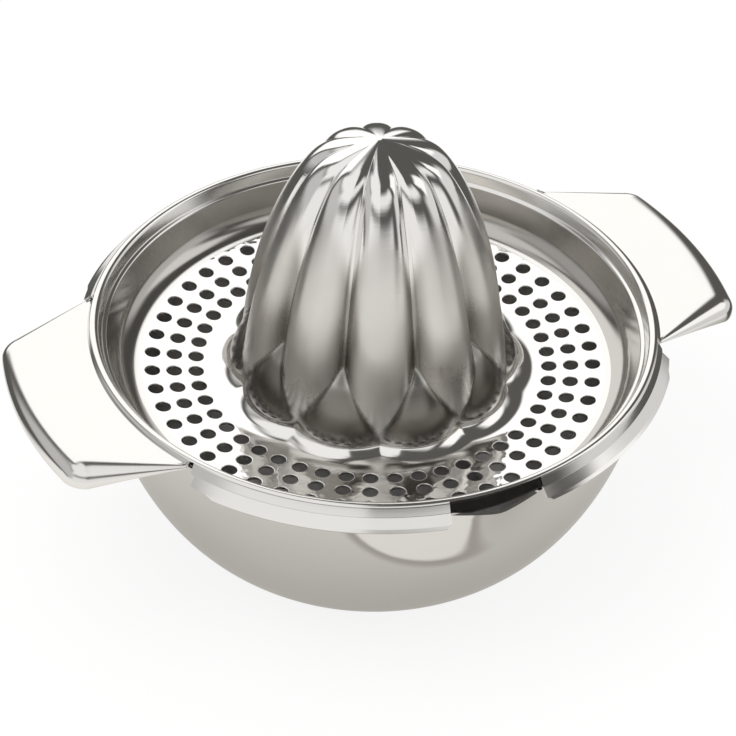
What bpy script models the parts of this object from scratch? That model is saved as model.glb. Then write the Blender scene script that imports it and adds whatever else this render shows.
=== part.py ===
"""Hand citrus juicer pressed from stainless steel sheet, in two pieces that lift apart.

The strainer top is one pressing: a ribbed reamer, a perforated basin floor, a rolled rim with four skirt
lips and two ear handles. It hooks over the rim of the bowl, whose two pour spouts stand in the skirt's gaps.
Metres, +Z up. The origin is the middle of the bowl's flat base, the handles point along X, the spouts along Y.
"""

import math

import bmesh
import bpy

# Sheet, and the clearance square to the seat, which the flat facets narrow to about 0.3 mm
STRAINER_SHEET = 0.0006
BOWL_SHEET = 0.0006
SEAT_GAP = 0.00045

# Reamer
REAMER_RADIUS = 0.0285
REAMER_HEIGHT = 0.0598
REAMER_ROUNDNESS = 1.65
CAP_DROP = 0.0032
CAP_SHARPNESS = 15.0
RIBS = 10
RIB_TURN = math.radians(-3.2)
RIB_BREADTH = 1.5
GROOVE_DEPTH = 0.0042
GROOVE_FADE = 3.0
FOOT_FLARE = 0.0025
FOOT_FILLET = 0.0050

# Basin floor and its holes
FLOOR_WIDTH = 0.0226
FLOOR_SLOPE = math.radians(5.4)
FLOOR_FILLET = 0.0055
HOLES_PER_RING = 48
HOLE_RINGS = 3
HOLE_DIAMETER = 0.0036
HOLE_RING_PITCH = 0.00465
HOLE_WALL_MARGIN = 0.0065
HOLE_TURN = math.radians(-1.8)
PUNCH_LENGTH = 0.0072

# Basin wall, ledge and rolled rim
BASIN_DEPTH = 0.0115
WALL_ANGLE = math.radians(70)
LEDGE_WIDTH = 0.0009
LEDGE_DROP = 0.0028
LEDGE_RISE = 0.0003
BEAD_WIDTH = 0.0034
BEAD_SIDE_AT = 0.38
BEAD_SIDE_DROP = 0.0006
BEAD_CREST_AT = 0.62
BEAD_TRIM_AT = 0.83
BEAD_TRIM_DROP = 0.0005
CREASE_DROP = 0.0023
LIP_REACH = 0.0025
LIP_DROP = 0.0018

# Gaps for the spouts, and the slits beside the handles
SPOUT_GAP_HALF = math.radians(9.5)
SLIT_WIDTH = 0.0010
LIP_CORNER = 0.0008

# Handles
HANDLE_REACH = 0.0187
HANDLE_ROOT_HALF = 0.0294
HANDLE_TIP_HALF = 0.0232
HANDLE_CORNER = 0.0032
HANDLE_BOW = 0.0033
HANDLE_DROP = 0.0005
EDGE_BEND = 0.0020
EDGE_ANGLE = math.radians(84)
EDGE_DEPTH_TIP = 0.0018
EDGE_DEPTH_ROOT = 0.0004

# Bowl
BOWL_HEIGHT = 0.0511
BOWL_BASE_RADIUS = 0.0260
BOWL_RIM_INSET = 0.0003
BOWL_SHOULDER = 0.0355
BOWL_WALL_LEAN = 0.0036
BOWL_WALL_FALL = 0.78
SPOUT_REACH = 0.0029
SPOUT_DIP = 0.0013
SPOUT_HALF = math.radians(18)
SPOUT_DEPTH = 0.0160
SPOUT_SHARPNESS = 1.3

# Steps round and along
HANDLE_SIDE_STEPS = 2
HANDLE_CORNER_STEPS = 2
HANDLE_TIP_STEPS = 2
SKIRT_STEPS = 6
GAP_STEPS = 2
REAMER_ROWS = 9
ROW_CROWDING = 1.35
FILLET_STEPS = 2
BEND_STEPS = 2
BOWL_ROWS = 8
HOLE_SIDES = 8
HALF_HANDLE_STEPS = HANDLE_SIDE_STEPS + HANDLE_CORNER_STEPS + HANDLE_TIP_STEPS
STATIONS = 4 * (HALF_HANDLE_STEPS + 1 + SKIRT_STEPS + GAP_STEPS)


def rim_profile():
    """Named corners (radius, height) of the strainer's upper face, with height 0 at the outermost holes."""
    foot = REAMER_RADIUS + FOOT_FLARE
    corner = foot + FLOOR_WIDTH
    outer_holes = corner - HOLE_WALL_MARGIN
    corner_height = HOLE_WALL_MARGIN * math.tan(FLOOR_SLOPE)
    ledge_height = BASIN_DEPTH - LEDGE_DROP
    ledge = corner + (ledge_height - corner_height) / math.tan(WALL_ANGLE)
    bead = ledge + LEDGE_WIDTH
    crest = bead + BEAD_CREST_AT * BEAD_WIDTH
    return {
        "foot": (foot, (foot - outer_holes) * math.tan(FLOOR_SLOPE)),
        "outer_holes": (outer_holes, 0.0),
        "corner": (corner, corner_height),
        "ledge": (ledge, ledge_height),
        "bead": (bead, ledge_height + LEDGE_RISE),
        "bead_side": (bead + BEAD_SIDE_AT * BEAD_WIDTH, BASIN_DEPTH - BEAD_SIDE_DROP),
        "crest": (crest, BASIN_DEPTH),
        "trim": (bead + BEAD_TRIM_AT * BEAD_WIDTH, BASIN_DEPTH - BEAD_TRIM_DROP),
    }


def seat_height(profile):
    """Height, in the strainer's own measure, at which the bowl's rim meets the bead's sloping inner side."""
    start, end = profile["bead"], profile["bead_side"]
    slope = math.atan2(end[1] - start[1], end[0] - start[0])
    under_radius = start[0] + STRAINER_SHEET * math.sin(slope)
    under_height = start[1] - STRAINER_SHEET * math.cos(slope)
    bowl_inner = profile["crest"][0] - BOWL_RIM_INSET - BOWL_SHEET
    along = (bowl_inner - under_radius) * math.sin(slope) - SEAT_GAP
    return under_height + along / math.cos(slope)


PROFILE = rim_profile()
LIFT = BOWL_HEIGHT - seat_height(PROFILE)
BOWL_RIM_RADIUS = PROFILE["crest"][0] - BOWL_RIM_INSET


def steel(name, colour, roughness):
    material = bpy.data.materials.new(name)
    material.use_nodes = True
    shader = material.node_tree.nodes["Principled BSDF"]
    shader.inputs["Base Color"].default_value = (*colour, 1.0)
    shader.inputs["Metallic"].default_value = 1.0
    shader.inputs["Roughness"].default_value = roughness
    material.diffuse_color = (*colour, 1.0)
    return material


def finish(name, mesh_data, material, thickness=None):
    """Writes the mesh into a new smooth object and gives a sheet its thickness below the drawn face."""
    mesh = bpy.data.meshes.new(name)
    mesh_data.to_mesh(mesh)
    mesh_data.free()
    mesh.shade_smooth()
    mesh.materials.append(material)
    item = bpy.data.objects.new(name, mesh)
    bpy.context.scene.collection.objects.link(item)
    if thickness:
        wall = item.modifiers.new("sheet", "SOLIDIFY")
        wall.thickness = thickness
        wall.offset = -1.0
        wall.use_even_offset = True
    return item


def ring(bm, points):
    return [bm.verts.new(point) for point in points]


def skin(bm, inner, outer, closed):
    """Quads between two rows of the same length, facing up when the rows run anticlockwise outwards."""
    spans = len(inner) if closed else len(inner) - 1
    for i in range(spans):
        j = (i + 1) % len(inner)
        bm.faces.new((inner[i], outer[i], outer[j], inner[j]))


def polar(radius, angle, height):
    return (radius * math.cos(angle), radius * math.sin(angle), height + LIFT)


def rib_weight(angle):
    """1 on a rib's crest and 0 in the bottom of a groove; a rib is broader than a groove."""
    wave = 0.5 - 0.5 * math.cos(RIBS * (angle - RIB_TURN))
    return 1.0 - wave**RIB_BREADTH


def reamer_point(angle, climb):
    """A point of the reamer, with climb 0 at the foot's ring and 1 at the apex."""
    foot_radius, foot_height = PROFILE["foot"]
    height = foot_height + (REAMER_HEIGHT - foot_height) * climb
    share = max(0.0, height / REAMER_HEIGHT)
    radius = REAMER_RADIUS * math.sqrt(max(0.0, 1.0 - share**REAMER_ROUNDNESS))
    radius -= GROOVE_DEPTH * (1.0 - rib_weight(angle)) * math.sqrt(max(0.0, 1.0 - share**GROOVE_FADE))
    near_foot = max(0.0, 1.0 - (height - foot_height) / FOOT_FILLET) ** 2
    return radius + (foot_radius - radius) * near_foot, height - CAP_DROP * share**CAP_SHARPNESS


def station_angles():
    """Angles round the rim, and what lies outwards of each span: a handle, a slit, a skirt or a spout gap."""
    slit_half = 0.5 * SLIT_WIDTH / PROFILE["trim"][0]
    root = math.asin(HANDLE_ROOT_HALF / PROFILE["trim"][0])
    quarter = [
        ("handle", 0.0, root - slit_half, HALF_HANDLE_STEPS),
        ("slit", root - slit_half, root + slit_half, 1),
        ("skirt", root + slit_half, math.pi / 2 - SPOUT_GAP_HALF, SKIRT_STEPS),
        ("gap", math.pi / 2 - SPOUT_GAP_HALF, math.pi / 2, GAP_STEPS),
    ]
    spans = []
    for kind, start, end, steps in quarter:
        for i in range(steps):
            spans.append((kind, start + (end - start) * i / steps))
    angles = [angle for _, angle in spans]
    kinds = [kind for kind, _ in spans]
    mirrored = [math.pi - angle for angle in reversed(angles[1:])]
    half_angles = angles + [math.pi / 2] + mirrored
    half_kinds = kinds + kinds[::-1]
    return half_angles + [angle + math.pi for angle in half_angles], half_kinds * 2


def handle_outline():
    """Plan points and outward normals of one handle's edge, from the rim round to the middle of the tip."""
    root_radius = PROFILE["trim"][0]
    root = (math.sqrt(root_radius**2 - HANDLE_ROOT_HALF**2) + EDGE_BEND, HANDLE_ROOT_HALF - EDGE_BEND)
    tip_x = PROFILE["crest"][0] + HANDLE_REACH - EDGE_BEND
    corner_x = tip_x - HANDLE_BOW
    corner = (corner_x, HANDLE_TIP_HALF - EDGE_BEND)
    lean = math.atan2(root[1] - corner[1], corner[0] - root[0])
    bow_angle = math.atan2(2 * HANDLE_BOW, corner[1])
    turn = math.pi / 2 - lean - bow_angle
    setback = HANDLE_CORNER * math.tan(turn / 2)
    side_end = (corner[0] - setback * math.cos(lean), corner[1] + setback * math.sin(lean))
    centre = (
        side_end[0] - HANDLE_CORNER * math.sin(lean),
        side_end[1] - HANDLE_CORNER * math.cos(lean),
    )
    points = []
    for i in range(HANDLE_SIDE_STEPS):
        share = i / HANDLE_SIDE_STEPS
        place = [root[k] + (side_end[k] - root[k]) * share for k in (0, 1)]
        points.append((place, math.pi / 2 - lean))
    for i in range(HANDLE_CORNER_STEPS + 1):
        facing = math.pi / 2 - lean - turn * i / HANDLE_CORNER_STEPS
        place = [centre[0] + HANDLE_CORNER * math.cos(facing), centre[1] + HANDLE_CORNER * math.sin(facing)]
        points.append((place, facing))
    last, last_facing = points[-1]
    for i in range(1, HANDLE_TIP_STEPS + 1):
        share = 1 - i / HANDLE_TIP_STEPS
        place = [tip_x - (tip_x - last[0]) * share**2, last[1] * share]
        points.append((place, last_facing * share))
    return points


def add_handle(bm, rim, turn):
    """The flat ear, from the rim's vertices over the rounded bend to the turned-down edge."""
    quarter = handle_outline()
    outline = [((x, -y), -facing) for (x, y), facing in quarter]
    outline += [(place, facing) for place, facing in reversed(quarter[:-1])]
    starts = [rotate((vertex.co.x, vertex.co.y), -turn) for vertex in rim]
    plate_height = rim[0].co.z - HANDLE_DROP
    rows = [rim]
    for share in (0.0, 0.5, 1.0):
        row = []
        for start, (place, _) in zip(starts, outline):
            x = start[0] + HANDLE_DROP + (place[0] - start[0] - HANDLE_DROP) * share
            y = start[1] + (place[1] - start[1]) * share
            row.append((*rotate((x, y), turn), plate_height))
        rows.append(ring(bm, row))
    root_x = outline[0][0][0]
    length = PROFILE["crest"][0] + HANDLE_REACH - root_x
    for step in range(1, BEND_STEPS + 2):
        bend = EDGE_ANGLE * min(step, BEND_STEPS) / BEND_STEPS
        row = []
        for place, facing in outline:
            out = EDGE_BEND * math.sin(bend)
            down = EDGE_BEND * (1 - math.cos(bend))
            if step > BEND_STEPS:
                down += EDGE_DEPTH_ROOT + (EDGE_DEPTH_TIP - EDGE_DEPTH_ROOT) * (place[0] - root_x) / length
            x = place[0] + out * math.cos(facing)
            y = place[1] + out * math.sin(facing)
            row.append((*rotate((x, y), turn), plate_height - down))
        rows.append(ring(bm, row))
    for inner, outer in zip(rows, rows[1:]):
        skin(bm, inner, outer, closed=False)


def rotate(place, turn):
    x, y = place
    return x * math.cos(turn) - y * math.sin(turn), x * math.sin(turn) + y * math.cos(turn)


def add_skirt(bm, rim, angles):
    """One lip of the skirt: down the bead's outer side, through the crease and out to the flared edge."""
    crease = (PROFILE["bead"][0] + BEAD_WIDTH, BASIN_DEPTH - CREASE_DROP)
    edge = (crease[0] + LIP_REACH, crease[1] - LIP_DROP)
    rows = [rim, ring(bm, [polar(crease[0], a, crease[1]) for a in angles])]
    inset = LIP_CORNER / edge[0]
    ends = [angles[0] + inset] + list(angles[1:-1]) + [angles[-1] - inset]
    rows.append(ring(bm, [polar(edge[0], a, edge[1]) for a in ends]))
    for inner, outer in zip(rows, rows[1:]):
        skin(bm, inner, outer, closed=False)


def basin_rows():
    """Radius and height of each row from the floor's inner edge to the line where the spout gaps are trimmed."""
    corner = PROFILE["corner"]
    setback = FLOOR_FILLET * math.tan((WALL_ANGLE - FLOOR_SLOPE) / 2)
    start = (corner[0] - setback * math.cos(FLOOR_SLOPE), corner[1] - setback * math.sin(FLOOR_SLOPE))
    centre = (
        start[0] - FLOOR_FILLET * math.sin(FLOOR_SLOPE),
        start[1] + FLOOR_FILLET * math.cos(FLOOR_SLOPE),
    )
    rows = []
    for i in range(FILLET_STEPS + 1):
        lean = FLOOR_SLOPE + (WALL_ANGLE - FLOOR_SLOPE) * i / FILLET_STEPS
        rows.append((centre[0] + FLOOR_FILLET * math.sin(lean), centre[1] - FLOOR_FILLET * math.cos(lean)))
    return rows + [PROFILE[name] for name in ("ledge", "bead", "bead_side", "crest", "trim")]


def make_hole_punches(material):
    """Round punches for every ring of holes, joined into one cutter that stays hidden."""
    bm = bmesh.new()
    outer, _ = PROFILE["outer_holes"]
    for ring_number in range(HOLE_RINGS):
        radius = outer - ring_number * HOLE_RING_PITCH
        for i in range(HOLES_PER_RING):
            angle = HOLE_TURN + math.tau * i / HOLES_PER_RING
            made = bmesh.ops.create_cone(
                bm,
                cap_ends=True,
                segments=HOLE_SIDES,
                radius1=HOLE_DIAMETER / 2,
                radius2=HOLE_DIAMETER / 2,
                depth=PUNCH_LENGTH,
            )
            floor = (radius - outer) * math.tan(FLOOR_SLOPE)
            bmesh.ops.translate(bm, verts=made["verts"], vec=polar(radius, angle, floor))
    punches = finish("hole_punches", bm, material)
    punches.hide_render = True
    punches.display_type = "WIRE"
    return punches


def runs(kinds):
    """Each stretch of spans of one kind, with the numbers of its stations, going once round the rim."""
    count = len(kinds)
    starts = [i for i in range(count) if kinds[i] != kinds[i - 1]]
    found = []
    for start, following in zip(starts, starts[1:] + [starts[0] + count]):
        found.append((kinds[start], [i % count for i in range(start, following + 1)]))
    return found


def make_strainer_top(material):
    angles, kinds = station_angles()
    even = [RIB_TURN + angles[0] + math.tau * i / STATIONS for i in range(STATIONS)]
    assert len(angles) == STATIONS
    bm = bmesh.new()
    apex = bm.verts.new(polar(0.0, 0.0, REAMER_HEIGHT - CAP_DROP))
    rows = []
    for k in range(1, REAMER_ROWS + 1):
        climb = 1.0 - (k / REAMER_ROWS) ** ROW_CROWDING
        rows.append(ring(bm, [polar(r, a, h) for a in even for r, h in [reamer_point(a, climb)]]))
    for radius, height in basin_rows():
        rows.append(ring(bm, [polar(radius, a, height) for a in angles]))
    for i in range(STATIONS):
        bm.faces.new((apex, rows[0][i], rows[0][(i + 1) % STATIONS]))
    for inner, outer in zip(rows, rows[1:]):
        skin(bm, inner, outer, closed=True)
    for kind, picks in runs(kinds):
        edge = [rows[-1][p] for p in picks]
        first = angles[picks[0]]
        turns = [first + (angles[p] - first) % math.tau for p in picks]
        if kind == "skirt":
            add_skirt(bm, edge, turns)
        if kind == "handle":
            add_handle(bm, edge, turns[len(turns) // 2])
    top = finish("strainer_top", bm, material, STRAINER_SHEET)
    cut = top.modifiers.new("holes", "BOOLEAN")
    cut.operation = "DIFFERENCE"
    cut.solver = "EXACT"
    cut.object = make_hole_punches(material)
    return top


def bowl_curve(share):
    """Radius and height on the bowl's outer face, from the rim at share 0 to the flat base at share 1."""
    ends = (
        (BOWL_RIM_RADIUS, BOWL_HEIGHT),
        (BOWL_RIM_RADIUS - BOWL_WALL_LEAN, (1.0 - BOWL_WALL_FALL) * BOWL_HEIGHT),
        (BOWL_SHOULDER, 0.0),
        (BOWL_BASE_RADIUS, 0.0),
    )
    weights = ((1 - share) ** 3, 3 * (1 - share) ** 2 * share, 3 * (1 - share) * share**2, share**3)
    return [sum(w * end[k] for w, end in zip(weights, ends)) for k in (0, 1)]


def spout_pull(angle):
    """1 in the middle of a spout, 0 where the rim is round again."""
    away = abs(abs(math.remainder(angle, math.tau)) - math.pi / 2)
    return max(0.0, 1.0 - away / SPOUT_HALF) ** SPOUT_SHARPNESS


def make_bowl(material):
    bm = bmesh.new()
    angles = [math.tau * i / STATIONS for i in range(STATIONS)]
    rows = []
    for k in range(BOWL_ROWS + 1):
        radius, height = bowl_curve(k / BOWL_ROWS)
        fade = max(0.0, 1.0 - (BOWL_HEIGHT - height) / SPOUT_DEPTH) ** 2
        row = []
        for angle in angles:
            pull = spout_pull(angle) * fade
            out = radius + SPOUT_REACH * pull
            row.append((out * math.cos(angle), out * math.sin(angle), height - SPOUT_DIP * pull))
        rows.append(ring(bm, row))
    for upper, lower in zip(rows, rows[1:]):
        skin(bm, upper, lower, closed=True)
    middle = bm.verts.new((0.0, 0.0, 0.0))
    for i in range(STATIONS):
        bm.faces.new((rows[-1][i], middle, rows[-1][(i + 1) % STATIONS]))
    return finish("bowl", bm, material, BOWL_SHEET)


def clear_scene():
    for item in list(bpy.data.objects):
        bpy.data.objects.remove(item, do_unlink=True)


clear_scene()
make_bowl(steel("satin_steel", (0.62, 0.61, 0.59), 0.32))
make_strainer_top(steel("polished_steel", (0.80, 0.80, 0.79), 0.12))
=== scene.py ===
"""Looks of the hand citrus juicer: a bowl and a strainer top, both pressed from stainless steel sheet.

Metres, +Z up, in the CAD model's frame: handles along X, the bowl's pouring lips along Y, table at Z = 0.
"""
import math

import bmesh
import bpy
from mathutils import Matrix, Vector


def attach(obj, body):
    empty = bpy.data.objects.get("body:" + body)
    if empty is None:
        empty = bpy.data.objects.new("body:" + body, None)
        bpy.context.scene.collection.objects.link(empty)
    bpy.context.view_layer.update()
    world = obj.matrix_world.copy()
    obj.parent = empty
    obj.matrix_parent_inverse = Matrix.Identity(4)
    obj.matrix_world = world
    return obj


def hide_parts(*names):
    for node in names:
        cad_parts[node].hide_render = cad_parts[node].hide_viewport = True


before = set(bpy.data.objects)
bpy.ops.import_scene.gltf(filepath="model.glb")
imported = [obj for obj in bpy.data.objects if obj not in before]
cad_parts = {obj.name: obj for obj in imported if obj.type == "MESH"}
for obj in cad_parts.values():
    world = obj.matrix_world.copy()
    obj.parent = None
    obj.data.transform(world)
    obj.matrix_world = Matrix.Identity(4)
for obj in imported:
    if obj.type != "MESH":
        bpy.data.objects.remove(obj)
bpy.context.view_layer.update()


# Bowl: a round cup drawn from 0.6 mm stainless sheet, with two pouring lips pulled out of its rim.
# It was polished while it turned on the lathe, so it is bright, with a hair-fine grain round it.
BOWL_SHEET = 0.0006
BOWL_RIM_RADIUS = 0.05925
BOWL_HEIGHT = 0.0511
BOWL_BASE_RADIUS = 0.0260
BOWL_SHOULDER = 0.0355
BOWL_WALL_LEAN = 0.0036
BOWL_WALL_FALL = 0.78
SPOUT_REACH = 0.0029
SPOUT_DIP = 0.0013
SPOUT_HALF = math.radians(18)
SPOUT_DEPTH = 0.0160
SPOUT_SHARPNESS = 1.3
SPOUT_TIP_ROUNDING = math.radians(1.2)
BOWL_STATIONS = 360
BOWL_ROWS = 60
BASE_RINGS = (0.6, 0.2)


def linear(hex_colour):
    """An sRGB hex colour as the linear RGBA that a shader's socket takes."""
    shares = [int(hex_colour[i : i + 2], 16) / 255 for i in (1, 3, 5)]
    light = [s / 12.92 if s <= 0.04045 else ((s + 0.055) / 1.055) ** 2.4 for s in shares]
    return (*light, 1.0)


def add_node(tree, kind, inputs=None, **settings):
    """Adds a node with its settings, and sets or links its inputs; a node as input links its first output."""
    node = tree.nodes.new(kind)
    for name, value in settings.items():
        setattr(node, name, value)
    for socket, value in (inputs or {}).items():
        if isinstance(value, bpy.types.Node):
            value = value.outputs[0]
        if isinstance(value, bpy.types.NodeSocket):
            tree.links.new(value, node.inputs[socket])
        else:
            node.inputs[socket].default_value = value
    return node


# Polishing leaves a grain near 0.05 mm wide. It is drawn up to ten times as coarse, or it wouldn't show.
# Wiping leaves soft clouds about 11 mm across, in which the roughness wanders by these shares.
CLOUD_SCALE = 90.0
BRIGHT_SPREAD = 0.15
CREST_SPREAD = 0.25
# A corner that no wheel reaches keeps the soft shine of drawn steel.
CORNER_ROUGHNESS = 0.24


def make_steel(
    name,
    colour,
    roughness,
    grain,
    grain_stretch,
    grain_depth,
    crest_roughness=None,
    crest_colour=None,
    corner_shade_colour=None,
):
    """Stainless sheet, with a grain of that width in metres that runs along the axes grain_stretch lengthens.

    Where the crest values are given, the mesh's crest attribute makes belt-ground crests duller than the
    rest, and its corner attribute makes the corners that no wheel could reach rougher and paints shade into
    them with the darker corner colour.
    """
    material = bpy.data.materials.new(name)
    material.use_nodes = True
    tree = material.node_tree
    shader = tree.nodes["Principled BSDF"]
    shader.inputs["Base Color"].default_value = linear(colour)
    shader.inputs["Metallic"].default_value = 1.0
    place = add_node(tree, "ShaderNodeTexCoord")
    stretch = [1 / (grain * share) for share in grain_stretch]
    mapped = add_node(tree, "ShaderNodeMapping", {"Vector": place.outputs["Object"], "Scale": stretch})
    lines = add_node(tree, "ShaderNodeTexNoise", {"Vector": mapped, "Scale": 1.0, "Detail": 3.0})
    cloud = add_node(
        tree,
        "ShaderNodeTexNoise",
        {"Vector": place.outputs["Object"], "Scale": CLOUD_SCALE, "Detail": 4.0},
    )
    finishes = [(roughness, BRIGHT_SPREAD)]
    if crest_roughness is not None:
        finishes.append((crest_roughness, CREST_SPREAD))
    clouded = []
    for middle, spread in finishes:
        low, high = middle * (1.0 - spread), middle * (1.0 + spread)
        limits = {"Value": cloud, "From Min": 0.3, "From Max": 0.7, "To Min": low, "To Max": high}
        clouded.append(add_node(tree, "ShaderNodeMapRange", limits))
    dull = clouded[0]
    if crest_roughness is not None:
        tone = linear(colour)
        # The corner colour is painted shade in the corners; the crest colour is the belt-ground finish's own
        # tone.
        places = (("crest", clouded[1], crest_colour), ("corner", CORNER_ROUGHNESS, corner_shade_colour))
        for mark, duller, next_colour in places:
            share = add_node(tree, "ShaderNodeAttribute", attribute_name=mark).outputs["Fac"]
            dull = add_node(tree, "ShaderNodeMix", {0: share, 2: dull, 3: duller}, data_type="FLOAT")
            mixed = {0: share, 6: tone, 7: linear(next_colour)}
            tone = add_node(tree, "ShaderNodeMix", mixed, data_type="RGBA").outputs[2]
        tree.links.new(tone, shader.inputs["Base Color"])
    tree.links.new(dull.outputs[0], shader.inputs["Roughness"])
    relief = add_node(tree, "ShaderNodeBump", {"Height": lines, "Distance": grain_depth, "Strength": 1.0})
    tree.links.new(relief.outputs[0], shader.inputs["Normal"])
    return material


def ring(bm, points):
    """A row of new vertices at those points."""
    return [bm.verts.new(point) for point in points]


def skin(bm, inner, outer, closed):
    """Quads between two rows of the same length, facing up when the rows run anticlockwise outwards."""
    spans = len(inner) if closed else len(inner) - 1
    for i in range(spans):
        j = (i + 1) % len(inner)
        bm.faces.new((inner[i], outer[i], outer[j], inner[j]))


def thicken(piece, sheet):
    """Gives the sheet its thickness, below the drawn face."""
    wall = piece.modifiers.new("sheet", "SOLIDIFY")
    wall.thickness = sheet
    wall.offset = -1.0


def make_piece(name, bm, material, sheet):
    """Writes the drawn face into a new smooth object and makes it a sheet."""
    for edge in bm.edges:
        edge.smooth = not edge.is_boundary
    mesh = bpy.data.meshes.new(name)
    bm.to_mesh(mesh)
    bm.free()
    mesh.shade_smooth()
    mesh.materials.append(material)
    piece = bpy.data.objects.new(name, mesh)
    bpy.context.scene.collection.objects.link(piece)
    thicken(piece, sheet)
    return piece


def bowl_curve(share):
    """Radius and height on the bowl's outer face, from the rim at share 0 to the flat base at share 1."""
    ends = (
        (BOWL_RIM_RADIUS, BOWL_HEIGHT),
        (BOWL_RIM_RADIUS - BOWL_WALL_LEAN, (1.0 - BOWL_WALL_FALL) * BOWL_HEIGHT),
        (BOWL_SHOULDER, 0.0),
        (BOWL_BASE_RADIUS, 0.0),
    )
    weights = ((1 - share) ** 3, 3 * (1 - share) ** 2 * share, 3 * (1 - share) * share**2, share**3)
    return [sum(w * end[k] for w, end in zip(weights, ends)) for k in (0, 1)]


def spout_pull(angle):
    """1 in the middle of a pouring lip, its fold a little rounded, and 0 where the rim is round again."""
    away = abs(abs(math.remainder(angle, math.tau)) - math.pi / 2)
    away = math.hypot(away, SPOUT_TIP_ROUNDING) - SPOUT_TIP_ROUNDING
    return max(0.0, 1.0 - away / SPOUT_HALF) ** SPOUT_SHARPNESS


def make_bowl(material, inside):
    """The bowl's outer face, row by row from rim to base, as a sheet with its own material inside."""
    bm = bmesh.new()
    angles = [math.tau * i / BOWL_STATIONS for i in range(BOWL_STATIONS)]
    rows = []
    for k in range(BOWL_ROWS + 1):
        radius, height = bowl_curve(k / BOWL_ROWS)
        fade = max(0.0, 1.0 - (BOWL_HEIGHT - height) / SPOUT_DEPTH) ** 2
        row = []
        for angle in angles:
            pull = spout_pull(angle) * fade
            out = radius + SPOUT_REACH * pull
            row.append((out * math.cos(angle), out * math.sin(angle), height - SPOUT_DIP * pull))
        rows.append(ring(bm, row))
    for upper, lower in zip(rows, rows[1:]):
        skin(bm, upper, lower, closed=True)
    for share in BASE_RINGS:
        radius = BOWL_BASE_RADIUS * share
        rows.append(ring(bm, [(radius * math.cos(a), radius * math.sin(a), 0.0) for a in angles]))
        skin(bm, rows[-2], rows[-1], closed=True)
    middle = bm.verts.new((0.0, 0.0, 0.0))
    for i in range(BOWL_STATIONS):
        bm.faces.new((rows[-1][i], middle, rows[-1][(i + 1) % BOWL_STATIONS]))
    piece = make_piece("polished_bowl", bm, material, BOWL_SHEET)
    piece.data.materials.append(inside)
    piece.modifiers["sheet"].material_offset = 1
    return piece


# Stainless polished on the lathe: nearly a mirror, drawn out a little by the rings of its grain.
lathe_polished_steel = make_steel(
    "lathe_polished_stainless",
    colour="#d9d7d4",
    roughness=0.05,
    grain=0.0005,
    grain_stretch=(30, 30, 1),
    grain_depth=0.0000015,
)
# The same sheet as it left the drawing die: a soft, wide shine inside, where no wheel was taken to it.
drawn_steel = make_steel(
    "bright_drawn_stainless",
    colour="#d2d0ce",
    roughness=0.30,
    grain=0.0004,
    grain_stretch=(30, 30, 1),
    grain_depth=0.0000012,
)
bowl = make_bowl(lathe_polished_steel, drawn_steel)
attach(bowl, "bowl")
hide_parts("bowl")


# Reamer: the cone that the fruit is turned on, drawn up from the same stainless sheet as the basin round it.
# Ten broad ribs stand out of it. Their crests were ground dull on a belt, the grooves between them stayed
# bright, and the corners round the ribs' feet, out of the buffing wheel's reach, are rougher and darkened
# with painted shade.
STRAINER_SHEET = 0.0006
STRAINER_LIFT = 0.0422
REAMER_RADIUS = 0.0289
REAMER_HEIGHT = 0.0598
REAMER_ROUNDNESS = 1.67
REAMER_RIBS = 10
REAMER_TURN = math.radians(-3.2)
REAMER_STATIONS = 400
REAMER_ROWS = 100
FLOOR_START = 0.0357
FLOOR_SLOPE = math.radians(5.4)
OUTER_HOLES = 0.0471


def start_tree(name, sizes):
    """A geometry node tree with a mesh to give and a named input for each size, and those inputs' sockets."""
    tree = bpy.data.node_groups.new(name, "GeometryNodeTree")
    tree.interface.new_socket("Geometry", in_out="OUTPUT", socket_type="NodeSocketGeometry")
    for size in sizes:
        tree.interface.new_socket(size, in_out="INPUT", socket_type="NodeSocketFloat")
    return tree, tree.nodes.new("NodeGroupInput").outputs


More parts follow.
